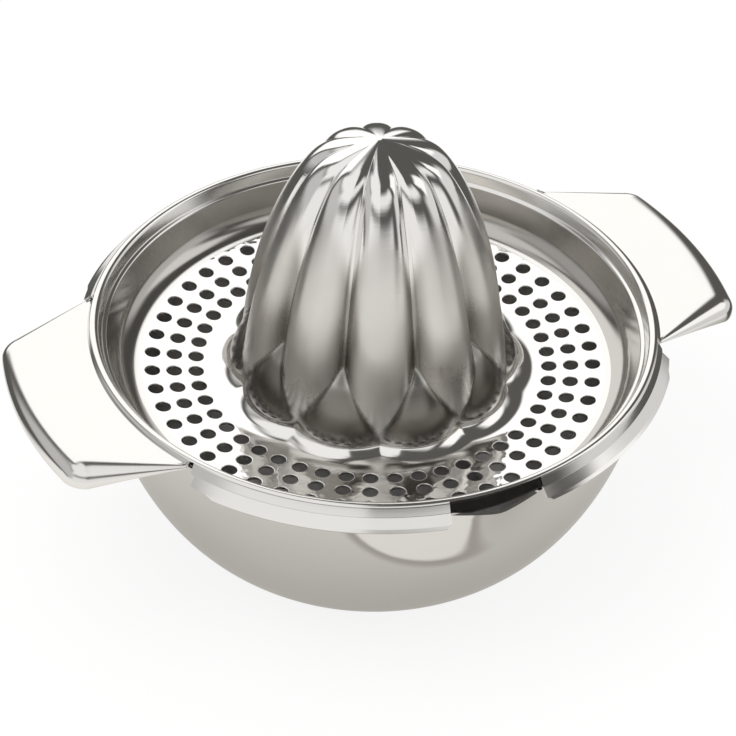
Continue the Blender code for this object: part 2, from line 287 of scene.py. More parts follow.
def make_reamer_tree(material):
    """Geometry nodes that wrap a flat grid into the ribbed cone: X goes round it, Y from apex to foot."""
    sizes = {
        "Radius": REAMER_RADIUS,
        "Height": REAMER_HEIGHT,
        "Roundness": REAMER_ROUNDNESS,
        "Apex height": 0.0567,
        "Apex slope": 0.28,
        "Apex blend": 0.0060,
        "Relief start": 0.0015,
        "Relief end": 0.0080,
        "Relief at apex": 0.2,
        "Ribs": float(REAMER_RIBS),
        "Turn": REAMER_TURN,
        "Lift": STRAINER_LIFT,
        "Groove depth": 0.138,
        "Rib fullness": 0.150,
        "Rib roundness": 2.5,
        "Blend share": 0.030,
        "Body end": 1.245,
        "Flare drop": 0.0149,
        "Flare reach": 0.0073,
        "Flare roundness": 1.5,
        "Flare reach lost at ribs": 0.0021,
        "Foot hollow": 2.1,
        "Foot radius": FLOOR_START,
        "Foot slope": math.tan(FLOOR_SLOPE),
        "Foot level": (FLOOR_START - OUTER_HOLES) * math.tan(FLOOR_SLOPE),
        "Grinding depth": 0.0009,
        "Corner start": 0.04,
        "Corner full": 0.30,
        "Corner fade": 0.75,
        "Groove shade start": 0.52,
        "Groove shade": 0.85,
        "Arch rise": 0.20,
        "Arch top": 0.82,
        "Arch foot": 0.70,
        "Body share": 0.62,
        "Flare share": 0.85,
    }
    tree, given = start_tree("ribbed_reamer", sizes)
    math_node = "ShaderNodeMath"

    grid = add_node(
        tree,
        "GeometryNodeMeshGrid",
        {"Size X": 1.0, "Size Y": 1.0, "Vertices X": REAMER_STATIONS + 1, "Vertices Y": REAMER_ROWS + 1},
    )
    spot = add_node(tree, "ShaderNodeSeparateXYZ", {0: add_node(tree, "GeometryNodeInputPosition")})
    round_share = add_node(tree, math_node, {0: spot.outputs["X"], 1: 0.5}, operation="ADD")
    down_share = add_node(tree, math_node, {0: spot.outputs["Y"], 1: 0.5}, operation="ADD")

    # How far each part has gone, from apex to foot: the domed body's angle, the flare, then the foot's fillet
    stretches = (
        (0.0, given["Body share"], given["Body end"]),
        (given["Body share"], given["Flare share"], 1.0),
        (given["Flare share"], 1.0, 1.0),
    )
    gone = []
    for start, end, reach in stretches:
        limits = {"Value": down_share, "From Min": start, "From Max": end, "To Max": reach}
        gone.append(add_node(tree, "ShaderNodeMapRange", limits))
    body, flare, foot = gone

    # Height over the outer holes, before the foot: the dome under its blunt conical apex, less the flare
    sine = add_node(tree, math_node, {0: body}, operation="SINE")
    cosine = add_node(tree, math_node, {0: body}, operation="COSINE")
    bulge = add_node(tree, math_node, {0: 2.0, 1: given["Roundness"]}, operation="DIVIDE")
    rise = add_node(tree, math_node, {0: cosine, 1: bulge}, operation="POWER")
    dome = add_node(tree, math_node, {0: rise, 1: given["Height"]}, operation="MULTIPLY")
    flare_fall = add_node(tree, math_node, {0: flare, 1: given["Flare drop"]}, operation="MULTIPLY")
    ribbed_height = add_node(tree, math_node, {0: dome, 1: flare_fall}, operation="SUBTRACT")
    dome_radius = add_node(tree, math_node, {0: sine, 1: given["Radius"]}, operation="MULTIPLY")
    apex_fall = add_node(tree, math_node, {0: dome_radius, 1: given["Apex slope"]}, operation="MULTIPLY")
    apex = add_node(tree, math_node, {0: given["Apex height"], 1: apex_fall}, operation="SUBTRACT")
    capped_height = add_node(
        tree, math_node, {0: ribbed_height, 1: apex, 2: given["Apex blend"]}, operation="SMOOTH_MIN"
    )
    relief = add_node(
        tree,
        "ShaderNodeMapRange",
        {
            "Value": dome_radius,
            "From Min": given["Relief start"],
            "From Max": given["Relief end"],
            "To Min": given["Relief at apex"],
        },
        interpolation_type="SMOOTHSTEP",
    )

    # Place across one rib: 0 on its crest and 1 in the grooves beside it
    phase = add_node(tree, math_node, {0: round_share, 1: given["Ribs"]}, operation="MULTIPLY")
    phase = add_node(tree, math_node, {0: phase, 1: 0.5}, operation="ADD")
    phase = add_node(tree, math_node, {0: phase}, operation="FRACT")
    phase = add_node(tree, math_node, {0: phase, 1: 2.0, 2: -1.0}, operation="MULTIPLY_ADD")
    phase = add_node(tree, math_node, {0: phase}, operation="ABSOLUTE")

    # The grooves' radius: a share inside the dome, then flaring out into a pocket between the ribs' tips
    groove_share = add_node(tree, math_node, {0: relief, 1: given["Groove depth"]}, operation="MULTIPLY")
    groove_share = add_node(tree, math_node, {0: 1.0, 1: groove_share}, operation="SUBTRACT")
    groove_scale = add_node(tree, math_node, {0: groove_share, 1: given["Radius"]}, operation="MULTIPLY")
    groove = add_node(tree, math_node, {0: sine, 1: groove_scale}, operation="MULTIPLY")
    flare_left = add_node(tree, math_node, {0: 1.0, 1: flare}, operation="SUBTRACT")
    flare_left = add_node(tree, math_node, {0: flare_left, 1: given["Flare roundness"]}, operation="POWER")
    flared = add_node(tree, math_node, {0: 1.0, 1: flare_left}, operation="SUBTRACT")
    groove = add_node(
        tree, math_node, {0: flared, 1: given["Flare reach"], 2: groove}, operation="MULTIPLY_ADD"
    )
    off_groove = add_node(tree, math_node, {0: 1.0, 1: phase}, operation="SUBTRACT")
    off_groove = add_node(tree, math_node, {0: off_groove, 1: off_groove}, operation="MULTIPLY")
    held_in = add_node(
        tree, math_node, {0: off_groove, 1: given["Flare reach lost at ribs"]}, operation="MULTIPLY"
    )
    groove = add_node(tree, math_node, {0: groove, 1: held_in}, operation="SUBTRACT")

    # The ribs' radius at the same height: the dome's own curve, less a share that grows towards the grooves
    height_share = add_node(tree, math_node, {0: ribbed_height, 1: given["Height"]}, operation="DIVIDE")
    height_share = add_node(tree, math_node, {0: height_share, 1: 0.0}, operation="MAXIMUM")
    curve = add_node(tree, math_node, {0: height_share, 1: given["Roundness"]}, operation="POWER")
    curve = add_node(tree, math_node, {0: 1.0, 1: curve}, operation="SUBTRACT")
    curve = add_node(tree, math_node, {0: curve, 1: 0.0}, operation="MAXIMUM")
    curve = add_node(tree, math_node, {0: curve}, operation="SQRT")
    cone = add_node(tree, math_node, {0: curve, 1: given["Radius"]}, operation="MULTIPLY")
    petal = add_node(tree, math_node, {0: phase, 1: given["Rib roundness"]}, operation="POWER")
    petal = add_node(tree, math_node, {0: petal, 1: given["Rib fullness"]}, operation="MULTIPLY")
    petal = add_node(tree, math_node, {0: petal, 1: relief}, operation="MULTIPLY")
    petal = add_node(tree, math_node, {0: 1.0, 1: petal}, operation="SUBTRACT")
    rib = add_node(tree, math_node, {0: cone, 1: petal}, operation="MULTIPLY")
    blend = add_node(tree, math_node, {0: groove, 1: given["Blend share"]}, operation="MULTIPLY")
    ribbed_radius = add_node(tree, math_node, {0: rib, 1: groove, 2: blend}, operation="SMOOTH_MAX")

    # The foot: the steep side breaks out in a long hollow curve that ends level with the sloping basin floor
    to_floor = add_node(tree, math_node, {0: given["Foot radius"], 1: ribbed_radius}, operation="SUBTRACT")
    radius = add_node(tree, math_node, {0: foot, 1: to_floor, 2: ribbed_radius}, operation="MULTIPLY_ADD")
    short_of_floor = add_node(tree, math_node, {0: radius, 1: given["Foot radius"]}, operation="SUBTRACT")
    foot_floor = add_node(
        tree,
        math_node,
        {0: short_of_floor, 1: given["Foot slope"], 2: given["Foot level"]},
        operation="MULTIPLY_ADD",
    )
    above_floor = add_node(tree, math_node, {0: capped_height, 1: foot_floor}, operation="SUBTRACT")
    hollow = add_node(tree, math_node, {0: 1.0, 1: foot}, operation="SUBTRACT")
    hollow = add_node(tree, math_node, {0: hollow, 1: given["Foot hollow"]}, operation="POWER")
    on_foot = add_node(tree, math_node, {0: above_floor, 1: hollow, 2: foot_floor}, operation="MULTIPLY_ADD")
    has_foot = add_node(tree, math_node, {0: foot, 1: 0.0}, operation="GREATER_THAN")
    height = add_node(tree, "ShaderNodeMix", {0: has_foot, 2: capped_height, 3: on_foot}, data_type="FLOAT")

    # Five soft steps from 0 to 1 for the finish and the painted shade: where a rib stands out of its groove,
    # below an arch near the top, down in a pocket between the ribs' tips, above the foot's round, and along
    # the middle of a groove
    stand_out = add_node(tree, math_node, {0: rib, 1: groove}, operation="SUBTRACT")
    arch = add_node(tree, math_node, {0: phase, 1: phase}, operation="MULTIPLY")
    arch = add_node(
        tree, math_node, {0: arch, 1: given["Arch rise"], 2: height_share}, operation="MULTIPLY_ADD"
    )
    soft_steps = (
        (stand_out, 0.0, given["Grinding depth"]),
        (arch, given["Arch top"], given["Arch foot"]),
        (flare, given["Corner start"], given["Corner full"]),
        (flare, 1.0, given["Corner fade"]),
        (phase, given["Groove shade start"], 1.0),
    )
    stepped = []
    for value, start, end in soft_steps:
        limits = {"Value": value, "From Min": start, "From Max": end}
        stepped.append(add_node(tree, "ShaderNodeMapRange", limits, interpolation_type="SMOOTHSTEP"))
    ground, below_arch, pocket, above_foot, core = stepped

    # Ground by the belt are the ribs, from their pointed tips up to the arch
    crest = add_node(tree, math_node, {0: ground, 1: below_arch}, operation="MULTIPLY")

    # Rougher, as the buffing wheel missed them, and darkened with painted shade are the pockets, and less so
    # the middles of the grooves below the arch
    bright = add_node(tree, math_node, {0: 1.0, 1: ground}, operation="SUBTRACT")
    pocket = add_node(tree, math_node, {0: pocket, 1: bright}, operation="MULTIPLY")
    core = add_node(tree, math_node, {0: core, 1: given["Groove shade"]}, operation="MULTIPLY")
    core = add_node(tree, math_node, {0: core, 1: below_arch}, operation="MULTIPLY")
    corner = add_node(tree, math_node, {0: pocket, 1: core}, operation="MAXIMUM")
    corner = add_node(tree, math_node, {0: corner, 1: above_foot}, operation="MULTIPLY")

    # Wrapped round the axis, and closed along the seam and at the apex
    angle = add_node(
        tree, math_node, {0: round_share, 1: math.tau, 2: given["Turn"]}, operation="MULTIPLY_ADD"
    )
    across = add_node(tree, math_node, {0: angle}, operation="COSINE")
    along = add_node(tree, math_node, {0: angle}, operation="SINE")
    x = add_node(tree, math_node, {0: radius, 1: across}, operation="MULTIPLY")
    y = add_node(tree, math_node, {0: radius, 1: along}, operation="MULTIPLY")
    z = add_node(tree, math_node, {0: height, 1: given["Lift"]}, operation="ADD")
    point = add_node(tree, "ShaderNodeCombineXYZ", {0: x, 1: y, 2: z})
    marked = grid
    # The corner attribute carries the painted shade of the pockets and groove middles, and their rougher
    # finish.
    for mark, value in (("crest", crest), ("corner", corner)):
        marked = add_node(
            tree,
            "GeometryNodeStoreNamedAttribute",
            {"Geometry": marked, "Name": mark, "Value": value},
            data_type="FLOAT",
            domain="POINT",
        )
    wrapped = add_node(tree, "GeometryNodeSetPosition", {"Geometry": marked, "Position": point})
    closed = add_node(tree, "GeometryNodeMergeByDistance", {"Geometry": wrapped, "Distance": 0.000002})
    real = add_node(tree, "GeometryNodeRealizeInstances", {"Geometry": closed})
    dressed = add_node(tree, "GeometryNodeSetMaterial", {"Geometry": real, "Material": material})
    add_node(tree, "NodeGroupOutput", {0: dressed})
    return tree, sizes


def run_tree(name, tree, sizes):
    """Runs a geometry node tree with its sizes on an empty object, which keeps the result as a plain mesh."""
    holder = bpy.data.objects.new(name, bpy.data.meshes.new(name))
    bpy.context.scene.collection.objects.link(holder)
    modifier = holder.modifiers.new("made", "NODES")
    modifier.node_group = tree
    for item in tree.interface.items_tree:
        if item.in_out == "INPUT":
            modifier[item.identifier] = sizes[item.name]
    graph = bpy.context.evaluated_depsgraph_get()
    mesh = bpy.data.meshes.new_from_object(holder.evaluated_get(graph))
    holder.modifiers.remove(modifier)
    holder.data = mesh
    mesh.shade_smooth()
    return holder


def face_up(piece):
    """Turns the drawn face's normals to its upper, outer side, with its open edge sharp."""
    bm = bmesh.new()
    bm.from_mesh(piece.data)
    if sum(face.normal.z * face.calc_area() for face in bm.faces) < 0:
        bmesh.ops.reverse_faces(bm, faces=bm.faces)
    for edge in bm.edges:
        edge.smooth = not edge.is_boundary
    bm.to_mesh(piece.data)
    bm.free()


# Stainless ground on a fine belt: satin grey crests between bright grooves, and painted shade in the corners
# at their feet.
ground_steel = make_steel(
    "belt_ground_stainless",
    colour="#ebe9e6",
    roughness=0.09,
    grain=0.0004,
    grain_stretch=(16, 16, 1),
    grain_depth=0.000008,
    crest_roughness=0.34,
    crest_colour="#d9d6d1",
    # The corners' colour is painted shade.
    corner_shade_colour="#84807a",
)
reamer = run_tree("ribbed_reamer", *make_reamer_tree(ground_steel))
face_up(reamer)
thicken(reamer, STRAINER_SHEET)
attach(reamer, "strainer_top")
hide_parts("strainer_top")


# Basin floor: the slightly sloping ring round the reamer, with three rings of round holes punched through it.
# It keeps the mirror finish of the stainless sheet, and the punch rolled each hole's edge a little.
FLOOR_END = 0.0496
HOLE_RINGS = (0.0378, 0.04245, OUTER_HOLES)
HOLES_PER_RING = 48
HOLE_RADIUS = 0.00158
HOLE_ROLL = 0.00015
HOLE_TURN = math.radians(-1.8)
HOLE_SEGMENTS = 32
HOLE_SHARP_EDGE = math.radians(50)


def floor_height(radius):
    """Height of the floor's upper face, which slopes in line with the reamer's foot."""
    return STRAINER_LIFT + (radius - OUTER_HOLES) * math.tan(FLOOR_SLOPE)


def make_floor_wedge():
    """One wedge of the floor with a hole of each ring, closed but for its two straight sides."""
    half = math.pi / HOLES_PER_RING
    between = [(a + b) / 2 for a, b in zip(HOLE_RINGS, HOLE_RINGS[1:])]
    edges = [FLOOR_START, *between, FLOOR_END]
    quarter = HOLE_SEGMENTS // 4
    bm = bmesh.new()

    def on_floor(x, y, drop):
        return (x, y, floor_height(math.hypot(x, y)) - drop)

    for hole, inner, outer in zip(HOLE_RINGS, edges, edges[1:]):
        border = []
        for i in range(HOLE_SEGMENTS):
            side, share = divmod(i, quarter)
            share /= quarter
            if side == 0:
                radius, turn = outer, half * (2 * share - 1)
            elif side == 1:
                radius, turn = outer + (inner - outer) * share, half
            elif side == 2:
                radius, turn = inner, half * (1 - 2 * share)
            else:
                radius, turn = inner + (outer - inner) * share, -half
            border.append((radius * math.cos(turn), radius * math.sin(turn)))
        start = math.atan2(border[0][1], border[0][0] - hole)
        rows = [[on_floor(x, y, STRAINER_SHEET) for x, y in border]]
        rolled = HOLE_RADIUS + HOLE_ROLL
        section = (
            (HOLE_RADIUS, STRAINER_SHEET),
            (HOLE_RADIUS, HOLE_ROLL),
            (rolled - HOLE_ROLL * math.cos(math.pi / 6), HOLE_ROLL * (1 - math.sin(math.pi / 6))),
            (rolled - HOLE_ROLL * math.cos(math.pi / 3), HOLE_ROLL * (1 - math.sin(math.pi / 3))),
            (rolled, 0.0),
            (rolled + HOLE_ROLL, 0.0),
        )
        for size, drop in section:
            row = []
            for i in range(HOLE_SEGMENTS):
                turn = start + math.tau * i / HOLE_SEGMENTS
                row.append(on_floor(hole + size * math.cos(turn), size * math.sin(turn), drop))
            rows.append(row)
        rows.append([on_floor(x, y, 0.0) for x, y in border])
        made = [ring(bm, row) for row in rows]
        for lower, upper in zip(made, made[1:]):
            skin(bm, lower, upper, closed=True)
        picks = list(range(quarter)) if outer == FLOOR_END else []
        picks += range(2 * quarter, 3 * quarter) if inner == FLOOR_START else []
        for i in picks:
            bm.faces.new((made[0][i], made[0][i + 1], made[-1][i + 1], made[-1][i]))
    mesh = bpy.data.meshes.new("floor_wedge")
    bmesh.ops.recalc_face_normals(bm, faces=bm.faces)
    for edge in bm.edges:
        edge.smooth = len(edge.link_faces) < 2 or edge.calc_face_angle() < HOLE_SHARP_EDGE
    bm.to_mesh(mesh)
    bm.free()
    wedge = bpy.data.objects.new("floor_wedge", mesh)
    bpy.context.scene.collection.objects.link(wedge)
    return wedge


def make_floor_tree(wedge, material):
    """Geometry nodes that repeat the wedge round the basin and weld the copies into one perforated ring."""
    sizes = {"Turn": HOLE_TURN, "Pitch": math.tau / HOLES_PER_RING}
    tree, given = start_tree("perforated_floor", sizes)
    points = add_node(tree, "GeometryNodePoints", {"Count": HOLES_PER_RING})
    number = add_node(tree, "GeometryNodeInputIndex")
    angle = add_node(
        tree, "ShaderNodeMath", {0: number, 1: given["Pitch"], 2: given["Turn"]}, operation="MULTIPLY_ADD"
    )
    turn = add_node(tree, "ShaderNodeCombineXYZ", {2: angle})
    source = add_node(tree, "GeometryNodeObjectInfo", {"Object": wedge})
    copies = add_node(
        tree,
        "GeometryNodeInstanceOnPoints",
        {"Points": points, "Instance": source.outputs["Geometry"], "Rotation": turn},
    )
    real = add_node(tree, "GeometryNodeRealizeInstances", {"Geometry": copies})
    welded = add_node(tree, "GeometryNodeMergeByDistance", {"Geometry": real, "Distance": 0.000005})
    dressed = add_node(tree, "GeometryNodeSetMaterial", {"Geometry": welded, "Material": material})
    add_node(tree, "NodeGroupOutput", {0: dressed})
    return tree, sizes


# Bright rolled stainless: a mirror, with a slow waviness from the press that bends what it shows.
mirror_steel = make_steel(
    "mirror_finished_stainless",
    colour="#efeeeb",
    roughness=0.055,
    grain=0.0080,
    grain_stretch=(1, 1, 1),
    grain_depth=0.000300,
)
floor_wedge = make_floor_wedge()
basin_floor = run_tree("perforated_basin_floor", *make_floor_tree(floor_wedge, mirror_steel))
bpy.data.objects.remove(floor_wedge, do_unlink=True)
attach(basin_floor, "strainer_top")
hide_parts("strainer_top")


# Rim: the basin's wall, a pressed ledge and a rolled bead that hooks over the bowl, still the same sheet.
# Outside the bead it runs on as four skirt lips and two ear handles with turned-down edges, and leaves gaps
# for the bowl's pouring lips. A pair below is a radius and a height over the outer holes.
WALL_FOOT = (0.0536, 0.0006)
WALL_TOP = (0.0565, 0.0086)
LEDGE_END = (0.0573, 0.0090)
BEAD_MIDDLE = (0.0591, 0.0103)
BEAD_RADIUS = 0.0012
BEAD_FLANK = math.radians(64)
BEAD_CUT = math.radians(35)
FLOOR_FILLET = 0.0055
WALL_TOP_ROUNDING = 0.0007
LEDGE_ROUNDING = 0.0004
FILLET_STEPS = 8
BEAD_STEPS = 14
WALL_SHADE_START = 0.0512
SPOUT_GAP_HALF = math.radians(9.5)
SLIT_WIDTH = 0.0010
LIP_CREASE = (0.0610, 0.0094)
LIP_EDGE = (0.06330, 0.0074)
LIP_CREASE_ROUNDING = 0.0005
LIP_FLANK = math.radians(60)
LIP_CURL = (0.0006, 0.00045)
LIP_CURL_ROUNDING = 0.0020
LIP_FILLET_STEPS = 9
LIP_HANDLE_CORNER = 0.0070
LIP_HANDLE_START = 0.0
LIP_GAP_CORNER = 0.0011
LIP_GAP_START = 0.78
HANDLE_REACH = 0.01867
HANDLE_CREST = 0.05955
HANDLE_ROOT_HALF = 0.0294
HANDLE_TIP_HALF = 0.0232
HANDLE_CORNER = 0.0056
HANDLE_BOW = 0.0033
HANDLE_LEVEL = 0.0105
HANDLE_START = 0.0606
HANDLE_SIDE_LAP = 0.0003
NECK_TURN = math.radians(12)
NECK_LEAN = 0.00012
NECK_ROUNDING = 0.0002
PLATE_ROWS = 14
PLATE_ROW_SPREAD = 1.6
EDGE_BEND = 0.0052
EDGE_TIGHTENING = 1.6
EDGE_STEPS = 12
EDGE_BEND_ROOT = 0.0008
EDGE_FULL_AT = 0.75
EDGE_ANGLE_ROOT = math.radians(68)
EDGE_ANGLE_TIP = math.radians(84)
EDGE_DEPTH = 0.0008
EDGE_DEPTH_ROOT = 0.0001
HALF_HANDLE_STEPS = 40
LIP_STEPS = 84
HALF_GAP_STEPS = 10
SIDE_STEPS, CORNER_STEPS, TIP_STEPS = 16, 10, 14


def rounded(corners, radii, steps):
    """Points along a line through those corners, each inner corner turned by an arc of its radius."""
    points = [Vector(corners[0])]
    for before, corner, after, radius in zip(corners, corners[1:], corners[2:], radii):
        before, corner, after = Vector(before), Vector(corner), Vector(after)
        back, on = (before - corner).normalized(), (after - corner).normalized()
        turn = math.pi - back.angle(on)
        setback = radius * math.tan(turn / 2)
        start, end = corner + back * setback, corner + on * setback
        centre = corner + (back + on).normalized() * (radius / math.cos(turn / 2))
        for i in range(steps + 1):
            spoke = (start - centre).slerp(end - centre, i / steps).normalized()
            points.append(centre + spoke * radius)
    points.append(Vector(corners[-1]))
    return points


def bead_point(lean):
    """Radius and height on the bead where its face leans outwards by that angle from level."""
    out, up = BEAD_RADIUS * math.sin(lean), BEAD_RADIUS * math.cos(lean)
    return Vector((BEAD_MIDDLE[0] + out, BEAD_MIDDLE[1] + up))


def basin_profile():
    """From the floor's outer edge over the wall, ledge and bead to the line where the gaps are cut."""
    inner_flank = bead_point(-BEAD_FLANK)
    start = (FLOOR_END, floor_height(FLOOR_END) - STRAINER_LIFT)
    lower = rounded(
        (start, WALL_FOOT, WALL_TOP, LEDGE_END, inner_flank),
        (FLOOR_FILLET, WALL_TOP_ROUNDING, LEDGE_ROUNDING),
        FILLET_STEPS,
    )
    leans = [-BEAD_FLANK + (BEAD_FLANK + BEAD_CUT) * (i + 1) / BEAD_STEPS for i in range(BEAD_STEPS)]
    return lower + [bead_point(lean) for lean in leans]


def polar(radius, angle, height):
    """A point of the strainer from its radius, angle round the axis and height over the outer holes."""
    return (radius * math.cos(angle), radius * math.sin(angle), height + STRAINER_LIFT)


def rim_stations():
    """Angles round the rim, and what lies outside each span: a handle, a slit, a skirt lip or a spout gap."""
    cut_radius = bead_point(BEAD_CUT)[0]
    slit_half = 0.5 * SLIT_WIDTH / cut_radius
    root = math.asin(HANDLE_ROOT_HALF / cut_radius)
    gap = math.pi / 2 - SPOUT_GAP_HALF
    quarter = [
        ("handle", 0.0, root - slit_half, HALF_HANDLE_STEPS),
        ("slit", root - slit_half, root + slit_half, 1),
        ("lip", root + slit_half, gap, LIP_STEPS),
        ("gap", gap, math.pi / 2, HALF_GAP_STEPS),
    ]
    spans = []
    for kind, start, end, steps in quarter:
        for i in range(steps):
            spans.append((kind, start + (end - start) * i / steps))
    angles = [angle for _, angle in spans]
    kinds = [kind for kind, _ in spans]
    half_angles = angles + [math.pi / 2] + [math.pi - angle for angle in reversed(angles[1:])]
    return half_angles + [angle + math.pi for angle in half_angles], (kinds + kinds[::-1]) * 2


def runs(kinds):
    """Each stretch of spans of one kind, with the numbers of its stations, going once round the rim."""
    count = len(kinds)
    starts = [i for i in range(count) if kinds[i] != kinds[i - 1]]
    for start, following in zip(starts, starts[1:] + [starts[0] + count]):
        yield kinds[start], [i % count for i in range(start, following + 1)]


def handle_outline():
    """Plan points and facing angles of half a handle's edge, from the rim round to the middle of the tip."""
    root = (math.sqrt(HANDLE_START**2 - HANDLE_ROOT_HALF**2) + HANDLE_SIDE_LAP, HANDLE_ROOT_HALF)
    tip_x = HANDLE_CREST + HANDLE_REACH
    corner = (tip_x - HANDLE_BOW, HANDLE_TIP_HALF)
    lean = math.atan2(root[1] - corner[1], corner[0] - root[0])
    turn = math.pi / 2 - lean - math.atan2(2 * HANDLE_BOW, corner[1])
    setback = HANDLE_CORNER * math.tan(turn / 2)
    side_end = (corner[0] - setback * math.cos(lean), corner[1] + setback * math.sin(lean))
    centre = (side_end[0] - HANDLE_CORNER * math.sin(lean), side_end[1] - HANDLE_CORNER * math.cos(lean))
    points = []
    for i in range(SIDE_STEPS):
        share = i / SIDE_STEPS
        place = [root[k] + (side_end[k] - root[k]) * share for k in (0, 1)]
        points.append((place, math.pi / 2 - lean))
    for i in range(CORNER_STEPS + 1):
        facing = math.pi / 2 - lean - turn * i / CORNER_STEPS
        place = (centre[0] + HANDLE_CORNER * math.cos(facing), centre[1] + HANDLE_CORNER * math.sin(facing))
        points.append((place, facing))
    last, last_facing = points[-1]
    for i in range(1, TIP_STEPS + 1):
        share = 1 - i / TIP_STEPS
        points.append(([tip_x - (tip_x - last[0]) * share**2, last[1] * share], last_facing * share))
    return points


def bend_curve(last_angle, steps):
    """How far out and down a sheet has gone after each step of a bend that tightens towards its edge."""
    out = down = 0.0
    points = []
    for i in range(steps):
        angle = last_angle * ((i + 0.5) / steps) ** EDGE_TIGHTENING
        out += math.cos(angle)
        down += math.sin(angle)
        points.append((out, down))
    return [(point[0] / out, point[1] / out) for point in points]


def rotate(place, turn):
    """A plan point turned about the axis."""
    x, y = place
    return x * math.cos(turn) - y * math.sin(turn), x * math.sin(turn) + y * math.cos(turn)


def add_handle(bm, rim, angles, turn):
    """The flat ear, from the rim's bead over the plate and the rounded bend to the turned-down edge."""
    half = handle_outline()
    outline = [((x, -y), -facing) for (x, y), facing in half]
    outline += [(place, facing) for place, facing in reversed(half[:-1])]
    root_x = outline[0][0][0]
    tip_x = HANDLE_CREST + HANDLE_REACH
    bends = []
    for i, (place, facing) in enumerate(outline):
        along = max(0.0, min(1.0, (place[0] - root_x) / (EDGE_FULL_AT * (tip_x - root_x))))
        size = EDGE_BEND_ROOT + (EDGE_BEND - EDGE_BEND_ROOT) * along
        curve = bend_curve(EDGE_ANGLE_ROOT + (EDGE_ANGLE_TIP - EDGE_ANGLE_ROOT) * along, EDGE_STEPS)
        bends.append((along, size, curve))
        outline[i] = ((place[0] - size * math.cos(facing), place[1] - size * math.sin(facing)), facing)
    rows = [rim]
    neck = [bead_point(BEAD_CUT + NECK_TURN * i) for i in (1, 2, 3)]
    neck_corner = (neck[-1][0] + NECK_LEAN, HANDLE_LEVEL)
    neck += rounded((neck[-1], neck_corner, (HANDLE_START, HANDLE_LEVEL)), (NECK_ROUNDING,), 3)[1:]
    for radius, height in neck:
        rows.append(ring(bm, [polar(radius, angle, height) for angle in angles]))
    for i in range(PLATE_ROWS):
        share = ((i + 1) / PLATE_ROWS) ** PLATE_ROW_SPREAD
        row = []
        for angle, (place, _) in zip(angles, outline):
            start = rotate((HANDLE_START, 0.0), angle - turn)
            spot = [start[k] + (place[k] - start[k]) * share for k in (0, 1)]
            row.append((*rotate(spot, turn), HANDLE_LEVEL + STRAINER_LIFT))
        rows.append(ring(bm, row))
    for step in range(EDGE_STEPS + 1):
        row = []
        for (place, facing), (along, size, curve) in zip(outline, bends):
            out, down = [size * part for part in curve[min(step, EDGE_STEPS - 1)]]
            if step == EDGE_STEPS:
                down += EDGE_DEPTH * along + EDGE_DEPTH_ROOT
            spot = (place[0] + out * math.cos(facing), place[1] + out * math.sin(facing))
            row.append((*rotate(spot, turn), HANDLE_LEVEL + STRAINER_LIFT - down))
        rows.append(ring(bm, row))
    for inner, outer in zip(rows, rows[1:]):
        skin(bm, inner, outer, closed=False)


def add_lip(bm, rim, angles, handle_first):
    """One lip of the skirt: down the bead's outer side, through the crease and out to its edge."""
    profile = [bead_point(BEAD_CUT + (LIP_FLANK - BEAD_CUT) * i / 3) for i in (1, 2, 3)]
    curl = (LIP_EDGE[0] - LIP_CURL[0], LIP_EDGE[1] + LIP_CURL[1])
    profile += rounded(
        (bead_point(LIP_FLANK), LIP_CREASE, curl, LIP_EDGE),
        (LIP_CREASE_ROUNDING, LIP_CURL_ROUNDING),
        LIP_FILLET_STEPS,
    )[1:]
    ends = [(LIP_HANDLE_CORNER, LIP_HANDLE_START), (LIP_GAP_CORNER, LIP_GAP_START)]
    if not handle_first:
        ends.reverse()
    rows = [rim]
    for number, (radius, height) in enumerate(profile):
        cuts = []
        for corner, start in ends:
            into = max(0.0, ((number + 1) / len(profile) - start) / (1.0 - start))
            cuts.append(corner * (1.0 - math.sqrt(1.0 - into**2)) / LIP_EDGE[0])
        first, last = angles[0] + cuts[0], angles[-1] - cuts[1]
        squeeze = (last - first) / (angles[-1] - angles[0])
        rows.append(ring(bm, [polar(radius, first + (a - angles[0]) * squeeze, height) for a in angles]))
    for inner, outer in zip(rows, rows[1:]):
        skin(bm, inner, outer, closed=False)


def make_rim(material, wall):
    """The basin's wall, ledge and bead as a ring, with lips and handles; the wall has its own darker
    material, painted shade.
    """
    angles, kinds = rim_stations()
    bm = bmesh.new()
    rows = [ring(bm, [polar(radius, a, height) for a in angles]) for radius, height in basin_profile()]
    for inner, outer in zip(rows, rows[1:]):
        skin(bm, inner, outer, closed=True)
    for kind, picks in runs(kinds):
        edge = [rows[-1][p] for p in picks]
        first = angles[picks[0]]
        turns = [first + (angles[p] - first) % math.tau for p in picks]
        if kind == "lip":
            add_lip(bm, edge, turns, kinds[picks[0] - 1] == "slit")
        if kind == "handle":
            add_handle(bm, edge, turns, turns[len(turns) // 2])
    piece = make_piece("rim_with_handles", bm, material, STRAINER_SHEET)
    piece.data.materials.append(wall)
    # The wall's faces take the darker material: shade painted into the basin.
    for face in piece.data.polygons:
        if WALL_SHADE_START < math.hypot(face.center.x, face.center.y) < WALL_TOP[0]:
            face.material_index = 1
    return piece


# Stainless buffed after pressing: bright but a little soft, with the buffing wheel's lines running round it.
pressed_steel = make_steel(
    "pressed_and_buffed_stainless",
    colour="#e4e2de",
    roughness=0.13,
    grain=0.0006,
    grain_stretch=(20, 20, 1),
    grain_depth=0.000004,
)
# The inside wall is a darker copy of the rim's steel, with shade painted in, so the basin reads darker than
# its rim.
wall_shade_steel = make_steel(
    "painted_shade_stainless_wall",
    colour="#bbb8b3",
    roughness=0.15,
    grain=0.0006,
    grain_stretch=(20, 20, 1),
    grain_depth=0.0000006,
)
rim = make_rim(pressed_steel, wall_shade_steel)
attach(rim, "strainer_top")
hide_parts("strainer_top")


